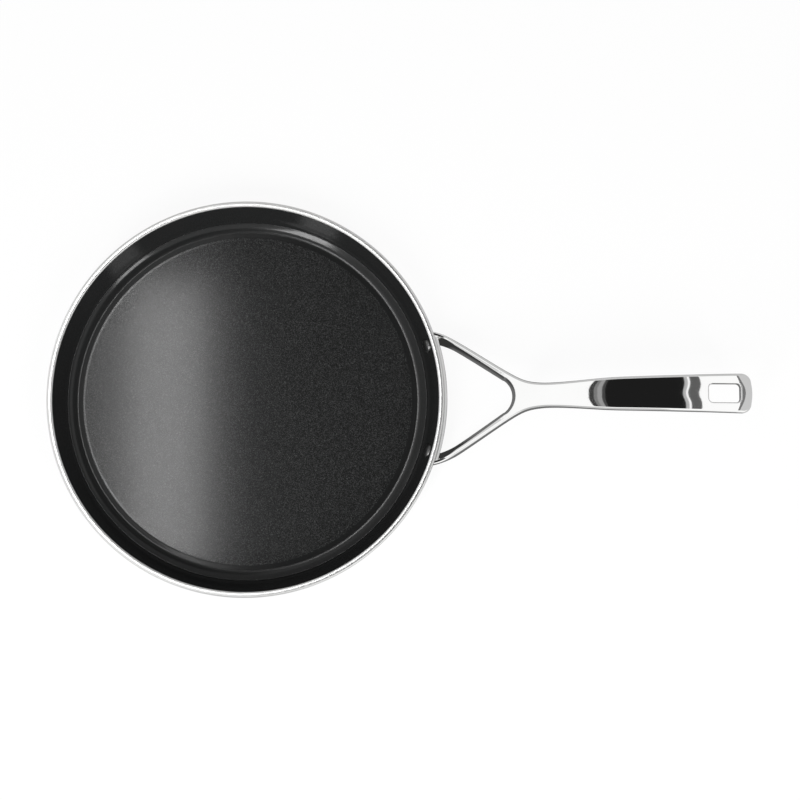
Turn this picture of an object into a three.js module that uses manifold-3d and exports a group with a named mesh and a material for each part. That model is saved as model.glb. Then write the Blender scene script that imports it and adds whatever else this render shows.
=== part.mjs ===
// Pancake pan: a clad pan with a non-stick lining and a forked, cast steel handle
// that two rivets hold to its wall.
// Millimetres, +Z up. The origin is the centre of the base, on the surface that the pan
// stands on, and the handle points along +X.
import * as THREE from "three";
import { mergeVertices } from "three/addons/utils/BufferGeometryUtils.js";
import Module from "manifold-3d";

const wasm = await Module();
wasm.setup();

const degrees = THREE.MathUtils.degToRad;

// Pan: its outline, and the plies that its sheet is rolled from
const RIM_DIAMETER = 280;
const PAN_HEIGHT = 26;
const WALL_LEAN = degrees(24);
const COVE_RADIUS = 14;
const COVE_TURN = degrees(33);
const OUTER_STEEL = 0.6;
const CORE = 2.2;
const INNER_STEEL = 0.4;
const LINING = 0.3;
const BOND_LINE = 0.05;

// Cooking floor: a disc pressed slightly proud, whose edge slopes to the groove round it
const FLOOR_RISE = 0.5;
const FLOOR_EDGE = 3.5;
const GROOVE_WIDTH = 0.3;

// Rim: the outer ply, rolled into a bare bead over the edges of the other plies
const RIM_WIDTH = 4.2;
const RIM_ROUND = 1.5;
const RIM_LIP = 1.6;
const RIM_BLEND = 3.5;

// Rivets
const RIVET_SPREAD = 74.3;
const RIVET_DROP = 7.8;
const RIVET_SHANK = 5.2;
const RIVET_HEAD = 10;
const RIVET_HEAD_HEIGHT = 2;
const RIVET_TAIL = 6.8;
const RIVET_TAIL_HEIGHT = 1;
const RIVET_CLEARANCE = 0.3;

// Handle, plan view. Lengths run outwards from the rim.
const HANDLE_LENGTH = 213.5;
const FORK_SPREAD = 95;
const FOOT_LENGTH = 8;
const ARM_WIDTH = 5.8;
const ARM_ANGLE = degrees(34.8);
const ARM_DRAFT = 2.2;
const CROTCH_RADIUS = 14;
const NECK_OUT = 70;
const NECK_WIDTH = 16.2;
const SHOULDER_OUT = 122;
const SHOULDER_SWELL = 4;
const BUTT_WIDTH = 28;
const BUTT_ROUND = 7;
const SLOT_LENGTH = 22.4;
const SLOT_WIDTH = 13;
const SLOT_ROUND = 3;
const SLOT_END_BAR = 8.9;

// Handle, side view. Drops run down from the top of the rim.
const FOOT_DROP = 4.5;
const FOOT_HEIGHT = 12;
const NECK_RISE = degrees(16.5);
const RISE_LENGTH = 66;
const CREST_RADIUS = 300;
const BUTT_FALL = degrees(8);
const NECK_THICKNESS = 8;
const GRIP_THICKNESS = 9.5;
const BUTT_THICKNESS = 7.6;
const NOSE_ROUND = 3.2;
const ARM_EDGE_ROUND = 1.3;
const GRIP_EDGE_ROUND = 2.4;
const SLOT_EDGE_ROUND = 1.2;
const SADDLE_THICKNESS = 3.8;
const SADDLE_DROP = 5.2;
const SADDLE_HEIGHT = 11.4;
const SEAT_GAP = 0.3;

// Fineness of the round faces
const PAN_SIDES = 60;
const COVE_STEPS = 3;
const CREASE_STEPS = 2;
const RIVET_SIDES = 18;
const ROUND_STEPS = 3;
const HANDLE_STATIONS = 34;

const STEEL = { color: 0xc9cacb, roughness: 0.16, metalness: 1 };
const FINISH = {
  polishedSteel: new THREE.MeshStandardMaterial(STEEL),
  hiddenSteel: new THREE.MeshStandardMaterial({ ...STEEL, roughness: 0.45 }),
  aluminium: new THREE.MeshStandardMaterial({ color: 0xd5d7d9, roughness: 0.5, metalness: 1 }),
  nonStick: new THREE.MeshStandardMaterial({ color: 0x202122, roughness: 0.35, metalness: 0 }),
};

// Solids

function toSolid(geometry) {
  const bare = new THREE.BufferGeometry();
  bare.setAttribute("position", geometry.getAttribute("position"));
  bare.setIndex(geometry.index);
  const merged = mergeVertices(bare, 1e-4);
  return new wasm.Manifold(
    new wasm.Mesh({
      numProp: 3,
      vertProperties: merged.getAttribute("position").array,
      triVerts: new Uint32Array(merged.index.array),
    }),
  );
}

function toGeometry(solid) {
  const { vertProperties, triVerts } = solid.getMesh();
  const geometry = new THREE.BufferGeometry();
  geometry.setAttribute("position", new THREE.BufferAttribute(vertProperties, 3));
  geometry.setIndex(new THREE.BufferAttribute(triVerts, 1));
  geometry.computeVertexNormals();
  return geometry;
}

// A body turned about +Z from a closed profile of (radius, height) points.
function turned(profile, sides) {
  return new THREE.LatheGeometry(profile, sides).rotateX(Math.PI / 2);
}

// A closed body through a row of outlines with as many points each. place(point, i) puts a
// point of outline i in space.
function loft(outlines, place) {
  const clockwise = THREE.ShapeUtils.isClockWise(outlines[0]);
  const rows = outlines.map((outline) => (clockwise ? [...outline].reverse() : outline));
  const count = rows[0].length;
  const last = rows.length - 1;
  const points = rows.flatMap((row, i) => row.map((point) => place(point, i)));
  const faces = [];
  for (let i = 0; i < last; i++) {
    for (let j = 0; j < count; j++) {
      const a = i * count + j;
      const b = i * count + ((j + 1) % count);
      faces.push([a, b, b + count], [a, b + count, a + count]);
    }
  }
  const cap = THREE.ShapeUtils.triangulateShape(rows[0], []);
  for (const [a, b, c] of cap) {
    faces.push([a, c, b], [last * count + a, last * count + b, last * count + c]);
  }
  const geometry = new THREE.BufferGeometry().setFromPoints(points);
  geometry.setIndex(faces.flat());
  if (signedVolume(points, faces) < 0) {
    geometry.setIndex(faces.flatMap(([a, b, c]) => [a, c, b]));
  }
  return geometry;
}

function signedVolume(points, faces) {
  const cross = new THREE.Vector3();
  return faces.reduce(
    (sum, [a, b, c]) => sum + points[a].dot(cross.crossVectors(points[b], points[c])) / 6,
    0,
  );
}

// Points of an arc, both ends included.
function arc(centre, radius, from, to, steps) {
  return Array.from({ length: steps + 1 }, (_, i) => {
    const angle = THREE.MathUtils.lerp(from, to, i / steps);
    return new THREE.Vector2(
      centre.x + radius * Math.cos(angle),
      centre.y + radius * Math.sin(angle),
    );
  });
}

function roundedRectangle(width, height, radius) {
  const corner = Math.min(radius, width / 2, height / 2);
  const x = width / 2 - corner;
  const y = height / 2 - corner;
  return [
    [x, y],
    [-x, y],
    [-x, -y],
    [x, -y],
  ].flatMap(([cx, cy], i) => {
    const from = (i * Math.PI) / 2;
    return arc({ x: cx, y: cy }, corner, from, from + Math.PI / 2, ROUND_STEPS);
  });
}

// Pan section. Every surface of the sheet lies at its own depth below the cooking surface.

const innerDepth = LINING + BOND_LINE;
const coreDepth = innerDepth + INNER_STEEL + BOND_LINE;
const outerDepth = coreDepth + CORE + BOND_LINE;
const sheetDepth = outerDepth + OUTER_STEEL;
const rimRadius = RIM_DIAMETER / 2;
const edgeRadius = rimRadius - RIM_WIDTH;
const edgeHeight = PAN_HEIGHT - RIM_LIP;

// The crease at the foot of the straight wall, and the centre of the cove that leads up to it
const coveHeight = sheetDepth + COVE_RADIUS;
const creaseHeight = coveHeight - COVE_RADIUS * Math.cos(COVE_TURN);
const crease = new THREE.Vector2(
  edgeRadius - (edgeHeight - creaseHeight) * Math.tan(WALL_LEAN),
  creaseHeight,
);
const coveCentre = new THREE.Vector2(crease.x - COVE_RADIUS * Math.sin(COVE_TURN), coveHeight);
const floorRadius = coveCentre.x - GROOVE_WIDTH - FLOOR_EDGE;

// The straight stretch of the wall, at a depth in the sheet and a height over the base.
function wallPoint(depth, height) {
  const radius =
    crease.x + depth / Math.cos(WALL_LEAN) + (height - crease.y) * Math.tan(WALL_LEAN);
  return new THREE.Vector2(radius, height);
}

// A surface of the sheet from the axis, across the floor, up the cove, round the crease and
// up the wall.
function sheetSurface(depth, height, rise) {
  const level = sheetDepth - depth;
  const floor = [new THREE.Vector2(0, level + rise)];
  if (rise > 0) {
    floor.push(new THREE.Vector2(floorRadius, level + rise));
    floor.push(new THREE.Vector2(floorRadius + FLOOR_EDGE, level));
  }
  const coveEnd = COVE_TURN - Math.PI / 2;
  const cove = arc(coveCentre, COVE_RADIUS + depth, -Math.PI / 2, coveEnd, COVE_STEPS);
  const bend = depth > 0 ? arc(crease, depth, coveEnd, -WALL_LEAN, CREASE_STEPS).slice(1) : [];
  return [...floor, ...cove, ...bend, wallPoint(depth, height)];
}

function ply(top, bottom, bottomRise) {
  const height = edgeHeight - BOND_LINE;
  const under = sheetSurface(bottom, height, bottomRise);
  const over = sheetSurface(top, height, FLOOR_RISE);
  return turned([...under, ...over.reverse()], PAN_SIDES);
}

// The outer ply runs up outside the others and ends in the bead that closes their edges.
function outerPly() {
  const underBead = PAN_HEIGHT - RIM_ROUND - RIM_BLEND;
  const shoulder = { x: rimRadius - RIM_ROUND, y: PAN_HEIGHT - RIM_ROUND };
  const lipRound = RIM_ROUND / 2;
  const lip = { x: edgeRadius + lipRound, y: PAN_HEIGHT - lipRound };
  const bead = [
    ...arc(shoulder, RIM_ROUND, 0, Math.PI / 2, ROUND_STEPS),
    ...arc(lip, lipRound, Math.PI / 2, Math.PI, ROUND_STEPS),
    new THREE.Vector2(edgeRadius, edgeHeight),
  ];
  const outside = sheetSurface(sheetDepth, underBead, 0);
  const inside = sheetSurface(outerDepth, edgeHeight, 0);
  return turned([...outside, ...bead, ...inside.reverse()], PAN_SIDES);
}

// Rivets, square to the wall

const rivetSeat = wallPoint(0, PAN_HEIGHT - RIVET_DROP);
const rivetAngle = Math.asin(RIVET_SPREAD / 2 / rivetSeat.x);
const saddleDepth = sheetDepth + SEAT_GAP;
const rivetGrip = saddleDepth + SADDLE_THICKNESS;

// A group at a rivet's place, with +Z along the rivet from the cooking surface outwards.
function rivetPlace(side) {
  const place = new THREE.Group();
  place.rotation.z = side * rivetAngle;
  const tilt = new THREE.Group();
  tilt.position.set(rivetSeat.x, 0, rivetSeat.y);
  tilt.rotation.y = Math.PI / 2 + WALL_LEAN;
  place.add(tilt);
  place.updateMatrixWorld(true);
  return { place, tilt };
}

function rivetGeometry() {
  const dome = (diameter, height, z, up) => {
    const radius = diameter / 2;
    const flat = radius - height;
    const edge = arc({ x: flat, y: 0 }, height, 0, Math.PI / 2, ROUND_STEPS);
    return [...edge, new THREE.Vector2(0, height)].map((p) => new THREE.Vector2(p.x, z + up * p.y));
  };
  const head = dome(RIVET_HEAD, RIVET_HEAD_HEIGHT, -SEAT_GAP, -1);
  const tail = dome(RIVET_TAIL, RIVET_TAIL_HEIGHT, rivetGrip + SEAT_GAP, 1);
  const shank = [
    new THREE.Vector2(RIVET_SHANK / 2, -SEAT_GAP),
    new THREE.Vector2(RIVET_SHANK / 2, rivetGrip + SEAT_GAP),
  ];
  return turned([...head.reverse(), ...shank, ...tail], RIVET_SIDES);
}

// A round cutter along a rivet, between two depths from the cooking surface.
function rivetCutter(side, diameter, from, to) {
  const radius = diameter / 2 + RIVET_CLEARANCE;
  const cutter = new THREE.CylinderGeometry(radius, radius, to - from, RIVET_SIDES)
    .rotateX(Math.PI / 2)
    .translate(0, 0, (from + to) / 2);
  return toSolid(cutter.applyMatrix4(rivetPlace(side).tilt.matrixWorld));
}

const RIVET_SIDE = { left: 1, right: -1 };
const bores = Object.values(RIVET_SIDE).map((side) =>
  rivetCutter(side, RIVET_SHANK, -RIVET_HEAD, rivetGrip + RIVET_TAIL_HEIGHT),
);
const tailPockets = Object.values(RIVET_SIDE).map((side) =>
  rivetCutter(side, RIVET_TAIL, rivetGrip, rivetGrip + RIVET_TAIL_HEIGHT + 2 * SEAT_GAP),
);

function cut(solid, cutters) {
  return cutters.reduce((rest, cutter) => rest.subtract(cutter), solid);
}

// Handle

const forkHalf = FORK_SPREAD / 2;
const forkStart = Math.sqrt(rimRadius ** 2 - forkHalf ** 2);
const armStart = forkStart + FOOT_LENGTH;
const bodyStart = forkStart - PAN_HEIGHT * Math.tan(WALL_LEAN);
const neckX = rimRadius + NECK_OUT;
const shoulderX = rimRadius + SHOULDER_OUT;
const buttX = rimRadius + HANDLE_LENGTH;

// The larger of two lines, with a round of about the given size where they cross.
function roundedMax(a, b, size) {
  return (a + b + Math.hypot(a - b, size)) / 2;
}

// Half of the handle's width at x: the fork's straight arms run into the neck, which swells
// at the shoulder and widens evenly to the butt.
function halfWidth(x) {
  const arm = forkHalf - roundedMax(0, (x - armStart) * Math.tan(ARM_ANGLE), ARM_WIDTH);
  const swell = SHOULDER_SWELL * THREE.MathUtils.smoothstep(x, neckX, shoulderX);
  const along = THREE.MathUtils.inverseLerp(neckX, buttX, Math.max(x, neckX));
  const widening = (BUTT_WIDTH - SHOULDER_SWELL - NECK_WIDTH) * along;
  return roundedMax(arm, (NECK_WIDTH + swell + widening) / 2, ARM_WIDTH);
}

// Top line in the side view: level over the feet, a straight rise, an arc over the crest and
// a straight fall to the butt.
const footTop = PAN_HEIGHT - FOOT_DROP;
const riseEnd = rimRadius + RISE_LENGTH;
const crest = new THREE.Vector2(
  riseEnd + CREST_RADIUS * Math.sin(NECK_RISE),
  footTop + RISE_LENGTH * Math.tan(NECK_RISE) + CREST_RADIUS * (1 - Math.cos(NECK_RISE)),
);
const fallStart = crest.x + CREST_RADIUS * Math.sin(BUTT_FALL);

function topAt(x) {
  if (x < riseEnd) return footTop + Math.max(0, x - rimRadius) * Math.tan(NECK_RISE);
  const onArc = Math.min(x, fallStart);
  const height = crest.y - CREST_RADIUS + Math.sqrt(CREST_RADIUS ** 2 - (onArc - crest.x) ** 2);
  return height - (x - onArc) * Math.tan(BUTT_FALL);
}

function thicknessAt(x) {
  const { lerp, smoothstep } = THREE.MathUtils;
  const arm = lerp(FOOT_HEIGHT, NECK_THICKNESS, smoothstep(x, rimRadius, neckX));
  const grip = lerp(arm, GRIP_THICKNESS, smoothstep(x, neckX, crest.x));
  return lerp(grip, BUTT_THICKNESS, smoothstep(x, crest.x, buttX));
}

const bottomAt = (x) => topAt(x) - thicknessAt(x);

function edgeRoundAt(x) {
  const along = THREE.MathUtils.smoothstep(x, neckX, shoulderX);
  return THREE.MathUtils.lerp(ARM_EDGE_ROUND, GRIP_EDGE_ROUND, along);
}

// Stations along the handle. The last ones round the butt off in plan and in side view.
function handleBody() {
  const stations = [];
  for (let i = 0; i < HANDLE_STATIONS; i++) {
    const along = i / (HANDLE_STATIONS - 1);
    stations.push({ x: THREE.MathUtils.lerp(bodyStart, buttX - BUTT_ROUND, along), inset: 0 });
  }
  const buttSteps = 2 * ROUND_STEPS;
  for (let i = 1; i <= buttSteps; i++) {
    const turn = ((i / buttSteps) * Math.PI) / 2;
    stations.push({ x: buttX - BUTT_ROUND * (1 - Math.sin(turn)), inset: 1 - Math.cos(turn) });
  }
  const outlines = stations.map(({ x, inset }) =>
    roundedRectangle(
      2 * (halfWidth(x) - inset * BUTT_ROUND),
      thicknessAt(x) - 2 * inset * NOSE_ROUND,
      edgeRoundAt(x),
    ),
  );
  const place = (point, i) => {
    const { x } = stations[i];
    return new THREE.Vector3(x, point.x, (topAt(x) + bottomAt(x)) / 2 + point.y);
  };
  return toSolid(loft(outlines, place));
}

// A cutter for an opening through the handle. outline(grow) is the opening in plan, which is
// wider by the draft at the top face. The cutter flares in a quarter round at both faces, so
// that the opening's edges come out rounded.
function openingCutter(outline, round, draft) {
  const flare = [{ grow: round, sink: -GRIP_THICKNESS }];
  for (let i = 0; i <= ROUND_STEPS; i++) {
    const turn = ((i / ROUND_STEPS) * Math.PI) / 2;
    flare.push({ grow: round * (1 - Math.sin(turn)), sink: round * (1 - Math.cos(turn)) });
  }
  const top = flare.map(({ grow, sink }) => ({ grow: grow + draft, heightAt: (x) => topAt(x) - sink }));
  const bottom = flare.map(({ grow, sink }) => ({ grow, heightAt: (x) => bottomAt(x) + sink }));
  const layers = [...top, ...bottom.reverse()];
  const place = (point, i) => new THREE.Vector3(point.x, point.y, layers[i].heightAt(point.x));
  return toSolid(loft(layers.map(({ grow }) => outline(grow)), place));
}

// The fork's opening: a triangle between the arms, with a round crotch.
function forkOpening(grow) {
  const inset = (ARM_WIDTH - grow) / Math.cos(ARM_ANGLE);
  const vertex = armStart + (forkHalf - inset) / Math.tan(ARM_ANGLE);
  const radius = CROTCH_RADIUS + grow;
  const crotch = { x: vertex - radius / Math.sin(ARM_ANGLE), y: 0 };
  const turn = Math.PI / 2 - ARM_ANGLE;
  const heel = bodyStart - ARM_WIDTH;
  const heelHalf = forkHalf - ARM_WIDTH + grow;
  return [
    new THREE.Vector2(heel, -heelHalf),
    new THREE.Vector2(armStart, -(forkHalf - inset)),
    ...arc(crotch, radius, -turn, turn, 4 * ROUND_STEPS),
    new THREE.Vector2(armStart, forkHalf - inset),
    new THREE.Vector2(heel, heelHalf),
  ];
}

const slotCentre = buttX - SLOT_END_BAR - SLOT_LENGTH / 2;

function hangingSlot(grow) {
  const outline = roundedRectangle(
    SLOT_LENGTH + 2 * grow,
    SLOT_WIDTH + 2 * grow,
    SLOT_ROUND + grow,
  );
  return outline.map((point) => new THREE.Vector2(slotCentre + point.x, point.y));
}

// The saddle between the fork's feet, which lies on the pan's wall and takes the rivets.
function saddle() {
  const halfAngle = Math.asin((forkHalf - ARM_WIDTH / 2) / rimRadius);
  const top = PAN_HEIGHT - SADDLE_DROP;
  const bottom = top - SADDLE_HEIGHT;
  const steps = Math.round(PAN_SIDES / 6);
  const face = (depth) => [wallPoint(depth, bottom), wallPoint(depth, top)];
  const profile = [...face(saddleDepth), ...face(saddleDepth + SADDLE_THICKNESS).reverse()];
  const outlines = Array.from({ length: steps + 1 }, () => profile);
  const place = (point, i) => {
    const angle = THREE.MathUtils.lerp(-halfAngle, halfAngle, i / steps);
    return new THREE.Vector3(point.x * Math.cos(angle), point.x * Math.sin(angle), point.y);
  };
  return toSolid(loft(outlines, place));
}

// The room that the pan takes, with the seat gap round it.
function panRoom() {
  const rimClear = rimRadius + SEAT_GAP;
  const wall = sheetSurface(saddleDepth, PAN_HEIGHT - RIM_ROUND - RIM_BLEND - SEAT_GAP, 0);
  const above = crest.y;
  return toSolid(
    turned(
      [
        ...wall,
        new THREE.Vector2(rimClear, PAN_HEIGHT - RIM_ROUND - SEAT_GAP),
        new THREE.Vector2(rimClear, above),
        new THREE.Vector2(0, above),
      ],
      PAN_SIDES,
    ),
  );
}

function handleCasting() {
  const openings = [
    openingCutter(forkOpening, ARM_EDGE_ROUND, ARM_DRAFT),
    openingCutter(hangingSlot, SLOT_EDGE_ROUND, 0),
  ];
  const body = cut(handleBody(), openings);
  return cut(body.add(saddle()), [panRoom(), ...bores, ...tailPockets]);
}

// Assembly

const pan = new THREE.Group();

function addPiece(name, geometry, material, parent = pan) {
  const piece = new THREE.Mesh(geometry, material);
  piece.name = name;
  parent.add(piece);
}

function addPly(name, geometry, material) {
  addPiece(name, toGeometry(cut(toSolid(geometry), bores)), material);
}

addPly("outer_steel_ply", outerPly(), FINISH.polishedSteel);
addPly("aluminium_core", ply(coreDepth, outerDepth - BOND_LINE, 0), FINISH.aluminium);
addPly("inner_steel_ply", ply(innerDepth, coreDepth - BOND_LINE, FLOOR_RISE), FINISH.hiddenSteel);
addPly("nonstick_lining", ply(0, LINING, FLOOR_RISE), FINISH.nonStick);
addPiece("handle", toGeometry(handleCasting()), FINISH.polishedSteel);
for (const [name, side] of Object.entries(RIVET_SIDE)) {
  const { place, tilt } = rivetPlace(side);
  addPiece("rivet_" + name, rivetGeometry(), FINISH.nonStick, tilt);
  pan.add(place);
}

export default pan;
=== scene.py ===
# Pancake pan: its finished surfaces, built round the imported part.
# Sizes are in millimetres in the part's own frame: +Z up, the handle along +X, the origin at
# the centre of the base. Meshes are scaled to metres when they are made.
import math

import bpy
import numpy as np
from mathutils import Matrix, Vector
from mathutils.geometry import delaunay_2d_cdt
from mathutils.kdtree import KDTree


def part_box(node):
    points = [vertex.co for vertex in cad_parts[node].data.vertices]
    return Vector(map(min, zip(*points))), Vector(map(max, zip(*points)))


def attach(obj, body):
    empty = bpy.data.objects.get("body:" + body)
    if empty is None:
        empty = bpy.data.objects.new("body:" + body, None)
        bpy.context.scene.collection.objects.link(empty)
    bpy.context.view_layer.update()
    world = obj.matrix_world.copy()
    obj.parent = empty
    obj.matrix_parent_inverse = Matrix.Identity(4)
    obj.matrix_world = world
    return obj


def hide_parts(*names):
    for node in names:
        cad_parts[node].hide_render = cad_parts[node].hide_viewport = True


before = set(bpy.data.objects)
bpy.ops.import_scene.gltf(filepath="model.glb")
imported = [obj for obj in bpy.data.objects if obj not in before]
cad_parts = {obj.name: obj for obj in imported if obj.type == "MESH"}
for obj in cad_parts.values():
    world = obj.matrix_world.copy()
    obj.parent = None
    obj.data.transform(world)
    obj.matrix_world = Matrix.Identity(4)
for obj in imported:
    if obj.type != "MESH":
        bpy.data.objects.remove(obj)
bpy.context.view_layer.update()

MM = 0.001
BODY = "root"


def far_corner(node):
    return [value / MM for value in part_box(node)[1]]


# Pan section: the sheet's plies share one cooking surface, and depths run down from it
RIM_RADIUS, _, PAN_HEIGHT = far_corner("outer_steel_ply")
RIM_WIDTH = 4.2
RIM_LIP = 1.6
RIM_ROUND = 1.5
RIM_BLEND = 3.5
BEAD_POWER = 2.5
WALL_LEAN = math.radians(24)
COVE_RADIUS = 14
COVE_START = math.radians(2.3)
COVE_TURN = math.radians(33)
SHEET = 3.65
SHELL = 0.6
LINING = 0.3
FLOOR_RISE = 0.5
FLOOR_EDGE = 2.6
FLOOR_EDGE_ROUND = 0.5
RIDGE_WIDTH = 1.6
RIDGE_RISE = 0.04
CREASE_GROOVE = 0.3
BASE_HOLLOW = 0.35
BASE_RING_WIDTH = 9
BASE_RING_SLOPE = 2
BASE_RING_ROUND = 1.2

EDGE_RADIUS = RIM_RADIUS - RIM_WIDTH
EDGE_HEIGHT = PAN_HEIGHT - RIM_LIP
COVE_HEIGHT = SHEET + COVE_RADIUS
CREASE_HEIGHT = COVE_HEIGHT - COVE_RADIUS * math.cos(COVE_TURN)
CREASE_RADIUS = EDGE_RADIUS - (EDGE_HEIGHT - CREASE_HEIGHT) * math.tan(WALL_LEAN)
COVE_CENTRE = CREASE_RADIUS - COVE_RADIUS * math.sin(COVE_TURN)
FLOOR_RADIUS = COVE_CENTRE - FLOOR_EDGE

# Rivets
RIVET_SPREAD = 74.3
RIVET_DROP = 7.8
RIVET_SHANK = 5.2
RIVET_HEAD = 10
RIVET_HEAD_HEIGHT = 2
RIVET_TAIL = 6.8
RIVET_TAIL_HEIGHT = 1
RIVET_DOME_POWER = 0.7
SEAT_GAP = 0.3

# Handle in plan
BUTT_X, _, CREST_HEIGHT = far_corner("handle")
FORK_HALF = 47.5
FOOT_LENGTH = 8
FOOT_FLARE = 1.2
ARM_WIDTH = 5.8
ARM_ANGLE = math.radians(34.8)
ARM_FLARE = 0.45
CROTCH_RADIUS = 14
NECK_X = RIM_RADIUS + 70
NECK_WIDTH = 16.2
SHOULDER_X = RIM_RADIUS + 122
SHOULDER_SWELL = 4
BUTT_WIDTH = 28
BUTT_ROUND = 7
BUTT_BOW = 0.7
SLOT_LENGTH = 22.4
SLOT_WIDTH = 13
SLOT_ROUND = 3
SLOT_END_BAR = 8.9

FORK_START = math.sqrt(RIM_RADIUS**2 - FORK_HALF**2)
ARM_START = FORK_START + FOOT_LENGTH
FOOT_END = ARM_START + FOOT_LENGTH
FLARE_FADE_X = NECK_X - 25

# Handle from the side
FOOT_DROP = 4.5
FOOT_TOP = PAN_HEIGHT - FOOT_DROP
FOOT_HEIGHT = 12
FOOT_BLEND = 0.4
NECK_RISE = math.radians(16.5)
RISE_END = RIM_RADIUS + 66
CREST_RADIUS = 300
CREST_X = RISE_END + CREST_RADIUS * math.sin(NECK_RISE)
BUTT_FALL = math.radians(8)
NECK_THICKNESS = 8
GRIP_THICKNESS = 9.5
BUTT_THICKNESS = 7.6

# Handle, the form of its polished faces
CROWN = 1.05
CROWN_FLAT = 0.25
CROWN_START_X = NECK_X - 22
CROWN_FULL_X = NECK_X + 15
BELLY = 1.2
THUMB_HOLLOW = 0.16
THUMB_HOLLOW_WIDTH = 5
THUMB_HOLLOW_LENGTH = 26
NOSE_REACH = 16
NOSE_DROP = 1.9
NOSE_SPREAD = 15

# Handle, the rounds and drafts of its edges
ARM_ROUND = 2.1
FORK_ROUND = 0.5
GRIP_ROUND = 2.1
GRIP_START_X = NECK_X - 20
NOSE_ROUND = 3.2
FOOT_OUTER_SHARE = 0.6
FOOT_INNER_SHARE = 0.2
ARM_UNDER_ROUND = 0.9
UNDER_ROUND = 2.4
SLOT_EDGE_ROUND = 1.0
ARM_OUTER_DRAFT = 1.1
ARM_INNER_DRAFT = 2.8
FOOT_INNER_DRAFT = 4.8
CROTCH_DRAFT = 2
CROTCH_DRAFT_X = NECK_X - 23
GRIP_DRAFT = 0.4

# Saddle
SADDLE_THICKNESS = 3.8
SADDLE_DROP = 5.2
SADDLE_HEIGHT = 11.4
SADDLE_ROUND = 1

# Fineness of the meshes: sides and steps are counts, and a step's length is in millimetres
PAN_SIDES = 320
COVE_STEPS = 14
HIDDEN_COVE_STEPS = 8
WALL_STEPS = 40
BEAD_STEPS = 24
LINING_STEPS = 30
CORNER_STEPS = 6
CORNER_SHARE = 0.45
RIVET_SIDES = 64
DOME_STEPS = 11
OUTER_STEPS = 1200
FORK_STEPS = 500
TURN_STEPS = 40
SLOT_TURN_STEPS = 12
SADDLE_STEPS = 90
EDGE_STEP = 0.6
FACE_STEP = 0.75
ROUND_STEPS = 9
SIDE_STEPS = 4
SETTLING_ROUNDS = 6
SLOPE_REACH = 0.02
NEARLY_NOTHING = 1e-6
SHARP_ANGLE = math.radians(38)


# Profiles

def arc(centre, radius, start, end, steps):
    angles = np.linspace(start, end, steps + 1)
    return [(centre[0] + radius * math.cos(a), centre[1] + radius * math.sin(a)) for a in angles]


def softened(points, reach):
    """The polyline with each inner corner rounded over the given reach, or less by a short side."""
    points = [np.array(p, float) for p in points]
    out = [points[0]]
    for before, corner, after in zip(points, points[1:], points[2:]):
        back, ahead = before - corner, after - corner
        room = min(reach, CORNER_SHARE * np.linalg.norm(back), CORNER_SHARE * np.linalg.norm(ahead))
        start = corner + back / np.linalg.norm(back) * room
        end = corner + ahead / np.linalg.norm(ahead) * room
        for t in np.linspace(0, 1, CORNER_STEPS + 1):
            out.append((1 - t) ** 2 * start + 2 * t * (1 - t) * corner + t**2 * end)
    out.append(points[-1])
    return [tuple(p) for p in out]


def wall_radius(depth, height):
    return CREASE_RADIUS + depth / math.cos(WALL_LEAN) + (height - CREASE_HEIGHT) * math.tan(WALL_LEAN)


def cove_and_bend(depth, steps):
    """The sheet's cove, from the floor up, and the bend round the crease at that depth."""
    end = COVE_TURN - math.pi / 2
    cove = arc((COVE_CENTRE, COVE_HEIGHT), COVE_RADIUS + depth, -math.pi / 2, end, steps)
    return cove + arc((CREASE_RADIUS, CREASE_HEIGHT), depth, end, -WALL_LEAN, steps)[1:]


def outside_radius(height):
    """Radius of the pan's outside at a height up to the rim's shoulder."""
    under_bead = PAN_HEIGHT - RIM_ROUND - RIM_BLEND
    wall = wall_radius(SHEET, np.minimum(height, under_bead))
    share = np.clip((height - under_bead) / RIM_BLEND, 0, 1)
    return wall + (RIM_RADIUS - wall_radius(SHEET, under_bead)) * share**2


def bead_profile(shoulder):
    """The rolled rim over its shoulder, from the outside in, a little squarer than an ellipse."""
    half = RIM_WIDTH / 2
    middle = RIM_RADIUS - half
    bead = []
    for turn in np.linspace(0, math.pi, BEAD_STEPS + 1)[1:]:
        across, up = math.cos(turn), math.sin(turn)
        bulge = (abs(across) ** BEAD_POWER + up**BEAD_POWER) ** (-1 / BEAD_POWER)
        bead.append((middle + half * across * bulge, shoulder + RIM_ROUND * up * bulge))
    return bead


def shell_profile():
    """Closed section of the outer ply: hollow base, cove, wall and the rolled bead."""
    ring = COVE_CENTRE - BASE_RING_WIDTH
    base = [(0, BASE_HOLLOW), (ring - BASE_RING_SLOPE, BASE_HOLLOW), (ring, 0), (COVE_CENTRE, 0)]
    outer = softened(base, BASE_RING_ROUND) + cove_and_bend(SHEET, COVE_STEPS)[1:]
    shoulder = PAN_HEIGHT - RIM_ROUND
    wall_heights = np.linspace(outer[-1][1], shoulder, WALL_STEPS)[1:]
    outer += [(float(outside_radius(z)), float(z)) for z in wall_heights]
    lip = [(EDGE_RADIUS, EDGE_HEIGHT)]
    depth = SHEET - SHELL
    inner = cove_and_bend(depth, HIDDEN_COVE_STEPS) + [(wall_radius(depth, EDGE_HEIGHT), EDGE_HEIGHT)]
    return outer + bead_profile(shoulder) + lip + inner[::-1] + [(0, SHELL)]


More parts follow.
